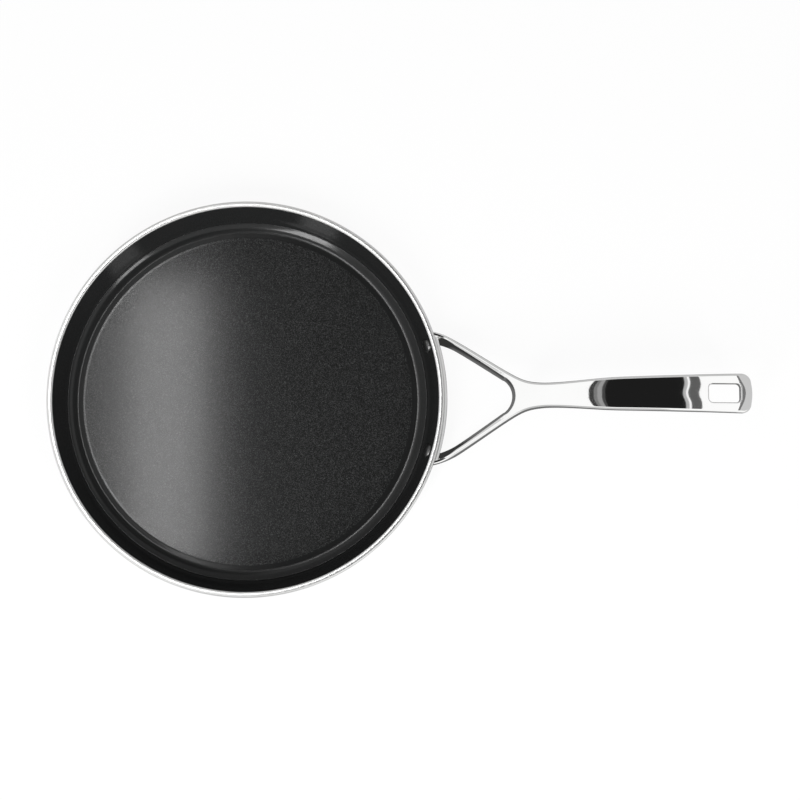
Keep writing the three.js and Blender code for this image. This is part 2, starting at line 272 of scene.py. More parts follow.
def lining_profile():
    """Closed section of the coating: raised floor, its ridge, cove, crease and wall."""
    floor = SHEET + FLOOR_RISE
    start, end = COVE_START - math.pi / 2, COVE_TURN - math.pi / 2
    cove = arc((COVE_CENTRE, COVE_HEIGHT), COVE_RADIUS, start, end, LINING_STEPS)
    # The floor's edge runs softly into the first steps of the cove
    disc = [
        (0, floor),
        (FLOOR_RADIUS - RIDGE_WIDTH, floor),
        (FLOOR_RADIUS, floor + RIDGE_RISE),
        cove[0],
        cove[2],
    ]
    wall = [(wall_radius(0, z), z) for z in np.linspace(CREASE_HEIGHT, EDGE_HEIGHT, LINING_STEPS)]
    crease = (CREASE_RADIUS + CREASE_GROOVE / 2, CREASE_HEIGHT - CREASE_GROOVE / 2)
    top = softened(disc, FLOOR_EDGE_ROUND) + cove[3:-1] + [crease] + wall[1:]
    under = cove_and_bend(LINING, HIDDEN_COVE_STEPS) + [(wall_radius(LINING, EDGE_HEIGHT), EDGE_HEIGHT)]
    under_floor = [(FLOOR_RADIUS, floor - LINING), (0, floor - LINING)]
    return top + under[::-1] + under_floor


def rivet_profile(grip):
    """Section of a rivet from the middle of its head to the middle of its tail."""
    def dome(diameter, height, seat, way):
        radius = diameter / 2
        turns = np.linspace(0, math.pi / 2, DOME_STEPS + 1)
        return [
            (radius * math.cos(t) ** RIVET_DOME_POWER, seat + way * height * math.sin(t)) for t in turns
        ]

    head = dome(RIVET_HEAD, RIVET_HEAD_HEIGHT, 0, -1)
    tail = dome(RIVET_TAIL, RIVET_TAIL_HEIGHT, grip, 1)
    shank = [(RIVET_SHANK / 2, 0), (RIVET_SHANK / 2, grip)]
    return head[::-1] + shank + tail


# Meshes

def add_piece(name, points, faces, materials, face_material=None, normals=None):
    """A piece of the pan, from points in millimetres."""
    mesh = bpy.data.meshes.new(name)
    mesh.from_pydata((np.asarray(points) * MM).tolist(), [], faces)
    for material in materials:
        mesh.materials.append(material)
    mesh.polygons.foreach_set("use_smooth", [True] * len(faces))
    if face_material is not None:
        mesh.polygons.foreach_set("material_index", face_material)
    mesh.update()
    if normals is None:
        mesh.set_sharp_from_angle(angle=SHARP_ANGLE)
    else:
        mesh.normals_split_custom_set_from_vertices(np.asarray(normals).tolist())
    piece = bpy.data.objects.new(name, mesh)
    bpy.context.scene.collection.objects.link(piece)
    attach(piece, BODY)
    return piece


def turned(profile, sides):
    """Points and faces of a body turned about +Z. Points on the axis are shared."""
    angles = np.linspace(0, 2 * math.pi, sides, endpoint=False)
    points, rings = [], []
    for radius, height in profile:
        if radius < NEARLY_NOTHING:
            rings.append([len(points)] * sides)
            points.append((0, 0, height))
        else:
            rings.append(list(range(len(points), len(points) + sides)))
            points += [(radius * math.cos(a), radius * math.sin(a), height) for a in angles]
    on_axis = profile[0][0] < NEARLY_NOTHING and profile[-1][0] < NEARLY_NOTHING
    pairs = list(zip(rings, rings[1:]))
    if not on_axis:
        pairs.append((rings[-1], rings[0]))
    faces = []
    for low, high in pairs:
        for i in range(sides):
            j = (i + 1) % sides
            corners = [low[i], low[j], high[j], high[i]]
            faces.append(list(dict.fromkeys(corners)))
    return points, faces


# Handle: smooth curves of its form, for single values and for arrays

def smoothstep(x, low, high):
    t = np.clip((x - low) / (high - low), 0, 1)
    return t * t * (3 - 2 * t)


def rounded_max(a, b, size):
    return (a + b + np.hypot(a - b, size)) / 2


def past_foot(x):
    """How far along its foot an arm is, from 0 at the wall to 1 where the plain arm starts."""
    return smoothstep(x, FORK_START, FOOT_END)


def half_width(x):
    arm = FORK_HALF - rounded_max(0, (x - ARM_START) * math.tan(ARM_ANGLE), ARM_WIDTH)
    swell = SHOULDER_SWELL * smoothstep(x, NECK_X, SHOULDER_X)
    along = np.clip((x - NECK_X) / (BUTT_X - NECK_X), 0, 1)
    body = NECK_WIDTH + swell + (BUTT_WIDTH - SHOULDER_SWELL - NECK_WIDTH) * along
    return rounded_max(arm, body / 2, ARM_WIDTH)


def top_line(x):
    """Height of the handle along its middle: level feet, a straight rise, the crest and the fall."""
    rise = FOOT_TOP + rounded_max(0, (x - RIM_RADIUS) * math.tan(NECK_RISE), FOOT_BLEND)
    fall_start = CREST_X + CREST_RADIUS * math.sin(BUTT_FALL)
    on_arc = np.clip(x, RISE_END, fall_start)
    crest = CREST_HEIGHT - CREST_RADIUS + np.sqrt(CREST_RADIUS**2 - (on_arc - CREST_X) ** 2)
    over = crest - (np.maximum(x, fall_start) - fall_start) * math.tan(BUTT_FALL)
    return np.where(x < RISE_END, rise, over)


def thickness(x):
    arm = FOOT_HEIGHT + (NECK_THICKNESS - FOOT_HEIGHT) * smoothstep(x, RIM_RADIUS, NECK_X)
    grip = arm + (GRIP_THICKNESS - NECK_THICKNESS) * smoothstep(x, NECK_X, CREST_X)
    return grip + (BUTT_THICKNESS - GRIP_THICKNESS) * smoothstep(x, CREST_X, BUTT_X)


def crown_share(x, y):
    """How far across the shoulder of the grip a point lies, squared, from 0 on the flat middle."""
    half = half_width(x)
    across = (np.abs(y) - CROWN_FLAT * half) / ((1 - CROWN_FLAT) * half)
    return np.clip(across, 0, 1) ** 2 * smoothstep(x, CROWN_START_X, CROWN_FULL_X)


def thumb_hollow(x, y):
    """A shallow hollow that starts before the slot and runs into it."""
    slot_x = BUTT_X - SLOT_END_BAR - SLOT_LENGTH
    along = smoothstep(x, slot_x - THUMB_HOLLOW_LENGTH, slot_x)
    return THUMB_HOLLOW * along * np.exp(-((y / THUMB_HOLLOW_WIDTH) ** 2))


def nose_drop(x, y):
    """How the top face bends down to the butt, sooner towards its corners."""
    share = np.maximum(x - BUTT_X + NOSE_REACH, 0) / NOSE_REACH
    return NOSE_DROP * share**2 * (1 + (y / NOSE_SPREAD) ** 2)


def top_height(x, y):
    return top_line(x) - CROWN * crown_share(x, y) - thumb_hollow(x, y) - nose_drop(x, y)


def under_height(x, y):
    return top_line(x) - thickness(x) + BELLY * crown_share(x, y)


def slopes(height, x, y):
    span = 2 * SLOPE_REACH
    along = (height(x + SLOPE_REACH, y) - height(x - SLOPE_REACH, y)) / span
    across = (height(x, y + SLOPE_REACH) - height(x, y - SLOPE_REACH)) / span
    return along, across


# Handle: outlines of its base in plan, with the material on the left of each

def resampled(points, step, closed=False):
    """The polyline at even steps, with the unit normals that point out of the material."""
    points = np.array(points, float)
    if closed:
        points = np.vstack([points, points[:1]])
    lengths = np.hypot(*np.diff(points, axis=0).T)
    run = np.concatenate([[0], np.cumsum(lengths)])
    count = int(run[-1] / step)
    marks = np.linspace(0, run[-1], count, endpoint=not closed)
    line = np.column_stack([np.interp(marks, run, points[:, i]) for i in (0, 1)])
    if closed:
        tangent = np.roll(line, -2, axis=0) - np.roll(line, 2, axis=0)
    else:
        tangent = np.gradient(line, axis=0)
    tangent /= np.hypot(tangent[:, 0], tangent[:, 1])[:, None]
    return line, np.column_stack([tangent[:, 1], -tangent[:, 0]])


def mirrored(points):
    return [(x, -y) for x, y in points]


def outer_outline():
    """From the right foot along the outer edge, round the butt and back to the left foot."""
    corner_x = BUTT_X - BUTT_ROUND - BUTT_BOW
    xs = np.linspace(FORK_START, corner_x, OUTER_STEPS)
    flare = ARM_FLARE * (1 - smoothstep(xs, FLARE_FADE_X, NECK_X))
    flare += FOOT_FLARE * (1 - past_foot(xs))
    side = list(zip(xs, half_width(xs) + flare))
    corner_y = side[-1][1] - BUTT_ROUND
    corner = arc((corner_x, corner_y), BUTT_ROUND, math.pi / 2, 0, TURN_STEPS)[1:]
    ys = np.linspace(corner_y, 0, TURN_STEPS)[1:]
    end = [(BUTT_X - BUTT_BOW * (y / corner_y) ** 2, y) for y in ys]
    left = side + corner + end
    return resampled(mirrored(left)[:-1] + left[::-1], EDGE_STEP)


def fork_outline():
    """From the left foot along the inner edge, round the crotch and back to the right foot."""
    inset = ARM_WIDTH / math.cos(ARM_ANGLE)
    vertex = ARM_START + (FORK_HALF - inset) / math.tan(ARM_ANGLE)
    centre = vertex - CROTCH_RADIUS / math.sin(ARM_ANGLE)
    turn = math.pi / 2 - ARM_ANGLE
    xs = np.linspace(FORK_START, centre + CROTCH_RADIUS * math.cos(turn), FORK_STEPS)
    bend = (xs - ARM_START) * math.tan(ARM_ANGLE) + inset - ARM_WIDTH
    side = list(zip(xs, FORK_HALF - ARM_WIDTH - rounded_max(0, bend, ARM_WIDTH)))
    crotch = arc((centre, 0), CROTCH_RADIUS, turn, 0, TURN_STEPS)[1:]
    left = side + crotch
    return resampled(left[:-1] + mirrored(left)[::-1], EDGE_STEP)


def slot_outline():
    centre = BUTT_X - SLOT_END_BAR - SLOT_LENGTH / 2
    x, y = SLOT_LENGTH / 2 - SLOT_ROUND, SLOT_WIDTH / 2 - SLOT_ROUND
    outline = []
    for cx, cy, quarter in ((x, -y, 0), (-x, -y, -1), (-x, y, -2), (x, y, -3)):
        start = quarter * math.pi / 2
        outline += arc((centre + cx, cy), SLOT_ROUND, start, start - math.pi / 2, SLOT_TURN_STEPS)
    return resampled(outline, EDGE_STEP / 2, closed=True)


# Handle: edges, each a strip of points from the top face round to the under face

def climb_along(height, points, normal):
    """Angle at which a face climbs along the outline's normal."""
    along, across = slopes(height, points[:, 0], points[:, 1])
    return np.arctan(along * normal[:, 0] + across * normal[:, 1])


def edge_section(base, normal, top_round, under_round, draft):
    """Where an edge's top round starts, the fall of its top face, the lean of its side, the lift of
    its under face and the height of its side, settled against each other."""
    end = base - under_round[:, None] * normal
    lift = climb_along(under_height, end, normal)
    inset = top_round + draft
    for _ in range(SETTLING_ROUNDS):
        start = base - inset[:, None] * normal
        fall = -climb_along(top_height, start, normal)
        height = top_height(*start.T) - under_height(*end.T)
        lean = np.arctan2(draft, height)
        side_drop = (
            height
            - top_round * (np.cos(fall) - np.sin(lean))
            - under_round * (np.sin(lean) + np.cos(lift))
        )
        inset = (
            top_round * (np.cos(lean) - np.sin(fall))
            + side_drop / np.cos(lean) * np.sin(lean)
            + under_round * (1 - np.cos(lean))
        )
    return start, fall, lean, lift, side_drop


def round_rows(last, radius, start, end):
    """Rows that carry on from the last one round an arc: each is its reach out, drop and turn."""
    out, drop, _ = last
    rows = []
    for share in np.linspace(0, 1, ROUND_STEPS + 1)[1:]:
        turn = start + (end - start) * share
        further = out + radius * (np.sin(turn) - np.sin(start))
        lower = drop + radius * (np.cos(start) - np.cos(turn))
        rows.append((further, lower, turn))
    return rows


def square_to_run(normals, points, closed):
    """The normals, turned square to the run of the strip along its outline."""
    if closed:
        tangent = np.roll(points, -1, axis=0) - np.roll(points, 1, axis=0)
    else:
        tangent = np.gradient(points, axis=0)
    share = (normals * tangent).sum(-1) / (tangent**2).sum(-1)
    normals = normals - tangent * share[..., None]
    return normals / np.linalg.norm(normals, axis=-1)[..., None]


def edge_strip(base, normal, top_round, under_round, draft, closed=False):
    """Rings from the top face, over the rounded edge, down the side and in under the base."""
    start, fall, lean, lift, side_drop = edge_section(base, normal, top_round, under_round, draft)
    steep = math.pi / 2 - lean
    rows = [(np.zeros_like(fall), np.zeros_like(fall), fall)]
    rows += round_rows(rows[-1], top_round, fall, steep)
    out, drop, _ = rows[-1]
    side_reach = side_drop / np.cos(lean) * np.sin(lean)
    for share in np.linspace(0, 1, SIDE_STEPS + 1)[1:]:
        rows.append((out + side_reach * share, drop + side_drop * share, steep))
    rows += round_rows(rows[-1], under_round, steep, math.pi - lift)
    level = top_height(*start.T)
    points, normals = [], []
    for out, drop, turn in rows:
        points.append(np.column_stack([start + out[:, None] * normal, level - drop]))
        normals.append(np.column_stack([np.sin(turn)[:, None] * normal, np.cos(turn)]))
    points, normals = np.stack(points, axis=1), np.stack(normals, axis=1)
    return points, square_to_run(normals, points, closed)


def outer_strip():
    base, normal = outer_outline()
    x = base[:, 0]
    grip = smoothstep(x, GRIP_START_X, SHOULDER_X)
    nose = smoothstep(x, BUTT_X - BUTT_ROUND, BUTT_X - BUTT_BOW)
    top_round = ARM_ROUND + (GRIP_ROUND - ARM_ROUND) * grip + (NOSE_ROUND - GRIP_ROUND) * nose
    top_round *= FOOT_OUTER_SHARE + (1 - FOOT_OUTER_SHARE) * past_foot(x)
    under_round = ARM_UNDER_ROUND + (UNDER_ROUND - ARM_UNDER_ROUND) * grip
    draft = ARM_OUTER_DRAFT + (GRIP_DRAFT - ARM_OUTER_DRAFT) * grip
    return edge_strip(base, normal, top_round, under_round, draft)


def fork_strip():
    base, normal = fork_outline()
    x = base[:, 0]
    top_round = FORK_ROUND * (FOOT_INNER_SHARE + (1 - FOOT_INNER_SHARE) * past_foot(x))
    under_round = np.full_like(x, ARM_UNDER_ROUND)
    crotch = smoothstep(x, ARM_START, CROTCH_DRAFT_X)
    draft = ARM_INNER_DRAFT + (CROTCH_DRAFT - ARM_INNER_DRAFT) * crotch
    draft += (FOOT_INNER_DRAFT - ARM_INNER_DRAFT) * (1 - past_foot(x))
    return edge_strip(base, normal, top_round, under_round, draft)


def slot_strip():
    base, normal = slot_outline()
    same = np.full(len(base), SLOT_EDGE_ROUND)
    return edge_strip(base, normal, same, same, 0 * same, closed=True)


def strip_faces(start, count, rows, closed):
    """Faces of a strip that has so many rings of so many points, from that index on."""
    faces = []
    for i in range(count if closed else count - 1):
        here, there = start + i * rows, start + (i + 1) % count * rows
        faces += [[here + k, here + k + 1, there + k + 1, there + k] for k in range(rows - 1)]
    return faces


# Handle: skin

def inside(points, loop):
    """Which points lie inside a closed loop, by counting crossings."""
    x, y = points[:, 0], points[:, 1]
    found = np.zeros(len(points), bool)
    for (ax, ay), (bx, by) in zip(loop, np.roll(loop, -1, axis=0)):
        if ay == by:
            continue
        crosses = (ay > y) != (by > y)
        found ^= crosses & (x < ax + (y - ay) * (bx - ax) / (by - ay))
    return found


def face_grid(loop, hole):
    """An even grid of points inside the loop and outside the hole, clear of both."""
    border = np.vstack([loop, hole])
    tree = KDTree(len(border))
    for i, (x, y) in enumerate(border):
        tree.insert((x, y, 0), i)
    tree.balance()
    low, high = loop.min(0), loop.max(0)
    grid = np.stack(
        np.meshgrid(*[np.arange(low[i], high[i], FACE_STEP) for i in (0, 1)]), axis=-1
    ).reshape(-1, 2)
    grid = grid[inside(grid, loop) & ~inside(grid, hole)]
    clear = [tree.find((x, y, 0))[2] > EDGE_STEP for x, y in grid]
    return grid[clear]


def face_fill(loop, hole):
    """Inner points of a face, and triangles over the loop's, the hole's and those points."""
    grid = face_grid(loop, hole)
    count = len(loop)
    edges = [(i, (i + 1) % count) for i in range(count)]
    edges += [(count + i, count + (i + 1) % len(hole)) for i in range(len(hole))]
    points = np.vstack([loop, hole, grid])
    whole_hull = 0
    made = delaunay_2d_cdt([tuple(p) for p in points], edges, [], whole_hull, NEARLY_NOTHING)
    source = [original[0] for original in made[3]]
    triangles = np.array([[source[i] for i in face] for face in made[2]])
    middles = points[triangles].mean(axis=1)
    return grid, triangles[inside(middles, loop) & ~inside(middles, hole)]


def seated_on_wall(points):
    """Draws the feet of the fork in until their ends lie against the pan's outside."""
    x, y, z = points.T
    wall = outside_radius(z) + SEAT_GAP
    seat = np.sqrt(np.maximum(wall**2 - y**2, 0))
    share = (np.minimum(x, FOOT_END) - FORK_START) / (FOOT_END - FORK_START)
    return np.column_stack([np.where(x < FOOT_END, seat + share * (FOOT_END - seat), x), y, z])


def handle_skin():
    """Points, faces and normals of the casting's fork, neck and grip."""
    strips = [outer_strip(), fork_strip(), slot_strip()]
    points = np.vstack([p.reshape(-1, 3) for p, _ in strips])
    normals = np.vstack([n.reshape(-1, 3) for _, n in strips])
    rows = strips[0][0].shape[1]
    counts = [len(p) for p, _ in strips]
    starts = np.concatenate([[0], np.cumsum(counts)[:-1]]) * rows

    faces = []
    for start, count, closed in zip(starts, counts, (False, False, True)):
        faces += strip_faces(start, count, rows, closed)

    for row, height, up in ((0, top_height, 1), (rows - 1, under_height, -1)):
        outer, fork, slot = [start + np.arange(n) * rows + row for start, n in zip(starts, counts)]
        border = np.concatenate([outer, fork, slot])
        loop = points[np.concatenate([outer, fork])][:, :2]
        grid, triangles = face_fill(loop, points[slot][:, :2])
        along, across = slopes(height, *grid.T)
        slope = np.column_stack([-along, -across, np.ones(len(grid))]) * up
        ids = np.concatenate([border, len(points) + np.arange(len(grid))])
        points = np.vstack([points, np.column_stack([grid, height(*grid.T)])])
        normals = np.vstack([normals, slope / np.linalg.norm(slope, axis=1)[:, None]])
        faces += [ids[triangle[::up]].tolist() for triangle in triangles]

    outer_ends = (starts[0], starts[0] + (counts[0] - 1) * rows)
    fork_ends = (starts[1], starts[1] + (counts[1] - 1) * rows)
    for first, last in ((outer_ends[0], fork_ends[1]), (fork_ends[0], outer_ends[1])):
        faces.append([first + k for k in range(rows)][::-1] + [last + k for k in range(rows)])
    return seated_on_wall(points), faces, normals


def saddle_section():
    """Outline of the saddle square to the wall: how far out and how far up the wall each point is."""
    half_out = SADDLE_THICKNESS / 2 - SADDLE_ROUND
    half_up = SADDLE_HEIGHT / math.cos(WALL_LEAN) / 2 - SADDLE_ROUND
    section = []
    for across, along, quarter in ((1, 1, 0), (-1, 1, 1), (-1, -1, 2), (1, -1, 3)):
        start = quarter * math.pi / 2
        centre = (across * half_out, along * half_up)
        section += arc(centre, SADDLE_ROUND, start, start + math.pi / 2, ROUND_STEPS)
    return section


def saddle_skin():
    """Points and faces of the band between the fork's feet."""
    depth = SHEET + SEAT_GAP + SADDLE_THICKNESS / 2
    middle = PAN_HEIGHT - SADDLE_DROP - SADDLE_HEIGHT / 2
    profile = []
    for out, up in saddle_section():
        height = middle + up * math.cos(WALL_LEAN) - out * math.sin(WALL_LEAN)
        profile.append((wall_radius(depth + out, height), height))
    half_angle = math.asin((FORK_HALF - ARM_WIDTH / 2) / RIM_RADIUS)
    angles = np.linspace(-half_angle, half_angle, SADDLE_STEPS)
    points = [(r * math.cos(a), r * math.sin(a), z) for a in angles for r, z in profile]
    count = len(profile)
    faces = []
    for i in range(len(angles) - 1):
        for j in range(count):
            a, b = i * count + j, i * count + (j + 1) % count
            faces.append([a, a + count, b + count, b])
    last = (len(angles) - 1) * count
    faces.append(list(range(count)))
    faces.append([last + j for j in reversed(range(count))])
    return points, faces


# Materials: scales and lines are counts per metre, and the depth of a relief is in millimetres

WIPE_SCALE = 30
WIPE_DETAIL = 4
WIPED_SHADE = 0.94
TURNED_DETAIL = 3
TURNED_STRENGTH = 0.4
TURNED_SHADE = 0.78
PEBBLE_RATIO = 0.55
PEBBLE_DETAIL = 2
GRAIN_POWER = 4
COAT_GRAINS = 3000
COAT_SPECULAR = 0.2
COAT_IOR = 1.3
DARK_GRAIN_COOLNESS = 1.03
LIGHT_GRAIN_COOLNESS = 1.02


def new_material(name):
    material = bpy.data.materials.new(name)
    material.use_nodes = True
    nodes, links = material.node_tree.nodes, material.node_tree.links
    return material, nodes, links, nodes["Principled BSDF"]


def group(name, inputs, outputs):
    """An empty shader group with named value sockets, and a place on the surface to work from."""
    tree = bpy.data.node_groups.new(name, "ShaderNodeTree")
    for title in inputs:
        tree.interface.new_socket(title, in_out="INPUT", socket_type="NodeSocketFloat")
    tree.interface.new_socket("Place", in_out="INPUT", socket_type="NodeSocketVector")
    for title in outputs:
        tree.interface.new_socket(title, in_out="OUTPUT", socket_type="NodeSocketFloat")
    return tree, tree.nodes.new("NodeGroupInput"), tree.nodes.new("NodeGroupOutput")


def math_node(tree, operation, first, second):
    node = tree.nodes.new("ShaderNodeMath")
    node.operation = operation
    for socket, value in zip(node.inputs, (first, second)):
        if isinstance(value, (int, float)):
            socket.default_value = value
        else:
            tree.links.new(value, socket)
    return node.outputs[0]


def noise_node(tree, place, scale, detail):
    node = tree.nodes.new("ShaderNodeTexNoise")
    node.inputs["Detail"].default_value = detail
    tree.links.new(place, node.inputs["Vector"])
    tree.links.new(scale, node.inputs["Scale"])
    return node.outputs["Fac"]


def wiped_polish():
    """Roughness and a tone that drift a little, as polish does after wiping and use."""
    tree, given, out = group("wiped_polish", ["Roughness", "Drift", "Scale"], ["Roughness", "Tone"])
    noise = noise_node(tree, given.outputs["Place"], given.outputs["Scale"], WIPE_DETAIL)
    about_zero = math_node(tree, "SUBTRACT", noise, 0.5)
    drift = math_node(tree, "MULTIPLY", about_zero, given.outputs["Drift"])
    tree.links.new(math_node(tree, "ADD", given.outputs["Roughness"], drift), out.inputs["Roughness"])
    tree.links.new(noise, out.inputs["Tone"])
    return tree


def turned_lines():
    """Fine rings about the pan's axis, as a lathe or a polishing wheel leaves them."""
    tree, given, out = group("turned_lines", ["Lines"], ["Height"])
    parts = tree.nodes.new("ShaderNodeSeparateXYZ")
    tree.links.new(given.outputs["Place"], parts.inputs[0])
    x, y, z = parts.outputs
    square = math_node(tree, "ADD", math_node(tree, "MULTIPLY", x, x), math_node(tree, "MULTIPLY", y, y))
    radius = math_node(tree, "SQRT", square, 0)
    joined = tree.nodes.new("ShaderNodeCombineXYZ")
    tree.links.new(radius, joined.inputs[0])
    tree.links.new(z, joined.inputs[1])
    noise = noise_node(tree, joined.outputs[0], given.outputs["Lines"], TURNED_DETAIL)
    tree.links.new(noise, out.inputs["Height"])
    return tree


def pebbled_coat():
    """A sprayed coating: low pebbles, and finer grains with a tone and a gloss that are mostly low."""
    tree, given, out = group("pebbled_coat", ["Scale"], ["Height", "Tone", "Gloss"])
    wider = math_node(tree, "MULTIPLY", given.outputs["Scale"], PEBBLE_RATIO)
    pebbles = noise_node(tree, given.outputs["Place"], wider, PEBBLE_DETAIL)
    tree.links.new(pebbles, out.inputs["Height"])
    grains = tree.nodes.new("ShaderNodeTexVoronoi")
    tree.links.new(given.outputs["Place"], grains.inputs["Vector"])
    tree.links.new(given.outputs["Scale"], grains.inputs["Scale"])
    tones = tree.nodes.new("ShaderNodeSeparateColor")
    tree.links.new(grains.outputs["Color"], tones.inputs[0])
    for channel, title in enumerate(("Tone", "Gloss")):
        mostly_low = math_node(tree, "POWER", tones.outputs[channel], GRAIN_POWER)
        tree.links.new(mostly_low, out.inputs[title])
    return tree


WIPED_POLISH = wiped_polish()
TURNED_LINES = turned_lines()
PEBBLED_COAT = pebbled_coat()


def place_group(nodes, links, tree, **values):
    node = nodes.new("ShaderNodeGroup")
    node.node_tree = tree
    for title, value in values.items():
        node.inputs[title].default_value = value
    place = nodes.new("ShaderNodeTexCoord")
    links.new(place.outputs["Object"], node.inputs["Place"])
    return node


def add_bump(nodes, links, shader, height, depth, strength=1):
    bump = nodes.new("ShaderNodeBump")
    bump.inputs["Strength"].default_value = strength
    bump.inputs["Distance"].default_value = depth * MM
    links.new(height, bump.inputs["Height"])
    links.new(bump.outputs["Normal"], shader.inputs["Normal"])


def add_tint(nodes, links, shader, share, low, high):
    """Base colour between two tones, by a share from 0 to 1."""
    tint = nodes.new("ShaderNodeMix")
    tint.data_type = "RGBA"
    tint.inputs["A"].default_value = (*low, 1)
    tint.inputs["B"].default_value = (*high, 1)
    links.new(share, tint.inputs["Factor"])
    links.new(tint.outputs["Result"], shader.inputs["Base Color"])


def steel(name, colour, roughness, drift, lines=None, depth=0.0):
    """Bare or coated metal. Its tone drifts with its polish or, if it has them, with its turned lines."""
    material, nodes, links, shader = new_material(name)
    shader.inputs["Metallic"].default_value = 1
    polish = place_group(nodes, links, WIPED_POLISH, Roughness=roughness, Drift=drift, Scale=WIPE_SCALE)
    links.new(polish.outputs["Roughness"], shader.inputs["Roughness"])
    tone, shade = polish.outputs["Tone"], WIPED_SHADE
    if lines:
        rings = place_group(nodes, links, TURNED_LINES, Lines=lines)
        add_bump(nodes, links, shader, rings.outputs["Height"], depth, TURNED_STRENGTH)
        tone, shade = rings.outputs["Height"], TURNED_SHADE
    shaded = tuple(shade * channel for channel in colour)
    add_tint(nodes, links, shader, tone, shaded, colour)
    return material


def cool_grey(tone, coolness):
    """A grey with a little less red in it."""
    return tone, tone * coolness, tone * coolness


def nonstick(name, dark, light, roughness, depth):
    """Black coating, each grain of it somewhere between a dark and a light tone."""
    material, nodes, links, shader = new_material(name)
    shader.inputs["Roughness"].default_value = roughness
    shader.inputs["Specular IOR Level"].default_value = COAT_SPECULAR
    shader.inputs["Coat Roughness"].default_value = roughness
    shader.inputs["Coat IOR"].default_value = COAT_IOR
    coat = place_group(nodes, links, PEBBLED_COAT, Scale=COAT_GRAINS)
    links.new(coat.outputs["Gloss"], shader.inputs["Coat Weight"])
    low, high = cool_grey(dark, DARK_GRAIN_COOLNESS), cool_grey(light, LIGHT_GRAIN_COOLNESS)
    add_tint(nodes, links, shader, coat.outputs["Tone"], low, high)
    add_bump(nodes, links, shader, coat.outputs["Height"], depth)
    return material


CAST_STEEL = steel("polished_cast_steel", (0.99, 0.99, 0.985), roughness=0.035, drift=0.02)
BASE_STEEL = steel(
    "brushed_base_steel", (0.6, 0.6, 0.59), roughness=0.42, drift=0.1, lines=420, depth=0.12
)
SHELL_STEEL = steel(
    "polished_outer_steel", (0.97, 0.97, 0.96), roughness=0.3, drift=0.08, lines=1400, depth=0.05
)
RIVET_STEEL = steel("rivet_tail_steel", (0.8, 0.8, 0.79), roughness=0.2, drift=0.08)
PLY_STEEL = steel("inner_steel", (0.72, 0.72, 0.71), roughness=0.4, drift=0.1, lines=900, depth=0.05)
PLY_ALUMINIUM = steel(
    "core_aluminium", (0.86, 0.87, 0.88), roughness=0.45, drift=0.1, lines=700, depth=0.08
)
FLOOR_COAT = nonstick("nonstick_coating", dark=0.0118, light=0.074, roughness=0.078, depth=0.022)
# The coat beyond the floor is smoother and darker than the floor's: partly its own finish, partly painted
# shade in the groove round the floor's edge.
WALL_COAT = nonstick("nonstick_wall_coating", dark=0.0145, light=0.021, roughness=0.12, depth=0.002)
RIVET_COAT = steel("rivet_coating", (0.14, 0.14, 0.14), roughness=0.28, drift=0.06)


# Pieces

def build_pan():
    points, faces = turned(shell_profile(), PAN_SIDES)
    heights = np.array(points)[:, 2]
    on_base = [int(heights[face].max() <= BASE_HOLLOW) for face in faces]
    finishes = [SHELL_STEEL, BASE_STEEL]
    shell = add_piece("pan_shell", points, faces, finishes, on_base)
    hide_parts("outer_steel_ply")
    points, faces = turned(lining_profile()[::-1], PAN_SIDES)
    radii = np.hypot(*np.array(points)[:, :2].T)
    beyond_floor = [int(radii[face].max() > FLOOR_RADIUS) for face in faces]
    coats = [FLOOR_COAT, WALL_COAT]
    lining = add_piece("coated_lining", points, faces, coats, beyond_floor)
    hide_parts("nonstick_lining")
    return shell


def build_plies():
    for node, material in (("aluminium_core", PLY_ALUMINIUM), ("inner_steel_ply", PLY_STEEL)):
        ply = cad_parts[node]
        ply.data.materials.clear()
        ply.data.materials.append(material)


def build_rivets():
    seat_height = PAN_HEIGHT - RIVET_DROP
    seat = wall_radius(0, seat_height)
    angle = math.asin(RIVET_SPREAD / 2 / seat)
    grip = SHEET + SEAT_GAP + SADDLE_THICKNESS
    points, faces = turned(rivet_profile(grip), RIVET_SIDES)
    points = np.array(points)
    below_head = [int(points[face][:, 2].mean() > 0) for face in faces]
    finishes = [RIVET_COAT, RIVET_STEEL]
    lie = Matrix.Translation((seat, 0, seat_height)) @ Matrix.Rotation(math.pi / 2 + WALL_LEAN, 4, "Y")
    for name, side in (("rivet_left", 1), ("rivet_right", -1)):
        place = np.array(Matrix.Rotation(side * angle, 4, "Z") @ lie)
        placed = points @ place[:3, :3].T + place[:3, 3]
        rivet = add_piece(name + "_formed", placed, faces, finishes, below_head)
        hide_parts(name)


def build_handle():
    points, faces, normals = handle_skin()
    casting = add_piece(
        "handle_casting", points, faces, [CAST_STEEL], normals=normals
    )
    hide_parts("handle")
    points, faces = saddle_skin()
    saddle = add_piece("handle_saddle", points, faces, [CAST_STEEL])
    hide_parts("handle")
    return [casting, saddle]


# Stage: the floor, the lamps, and the cards round the table that the polish mirrors

# Floor and the light of the room
FLOOR_REACH = 4000
FLOOR_DROP = 0.1
PAPER_GREY = 0.86
PAPER_ROUGHNESS = 0.9
PAPER_SPECULAR = 0.1
PAPER_WHITE = 1.02
PAPER_WHITE_SHARE = 0.9
AMBIENT = 0.3

# Cards at the ceiling, a little above the lamps
CEILING = 1500
CEILING_GAP = 5
CEILING_HALF = 900
RIG_START = -138
RIG_END = 800
RIG_NEAR = -640
LEFT_CEILING_START = -2600
LEFT_CEILING_END = -680

# Cards on the table and the walls
CARD_LIFT = 0.5
FLAG_START = 118
FLAG_END = 356
FLAG_HALF = 70
FAR_TABLE_START = -300
END_TABLE_NEAR = -400
FAR_WALL_Y = 1600
FAR_WALL_HALF = 2500
FAR_WALL_TOP = 2400
END_WALL_X = 1900
END_WALL_NEAR = -900
END_WALL_TOP = 1700
END_FLAG_TOP = 1950
NEAR_WALL_Y = -1700
NEAR_WALL_START = -700
NEAR_WALL_END = 500

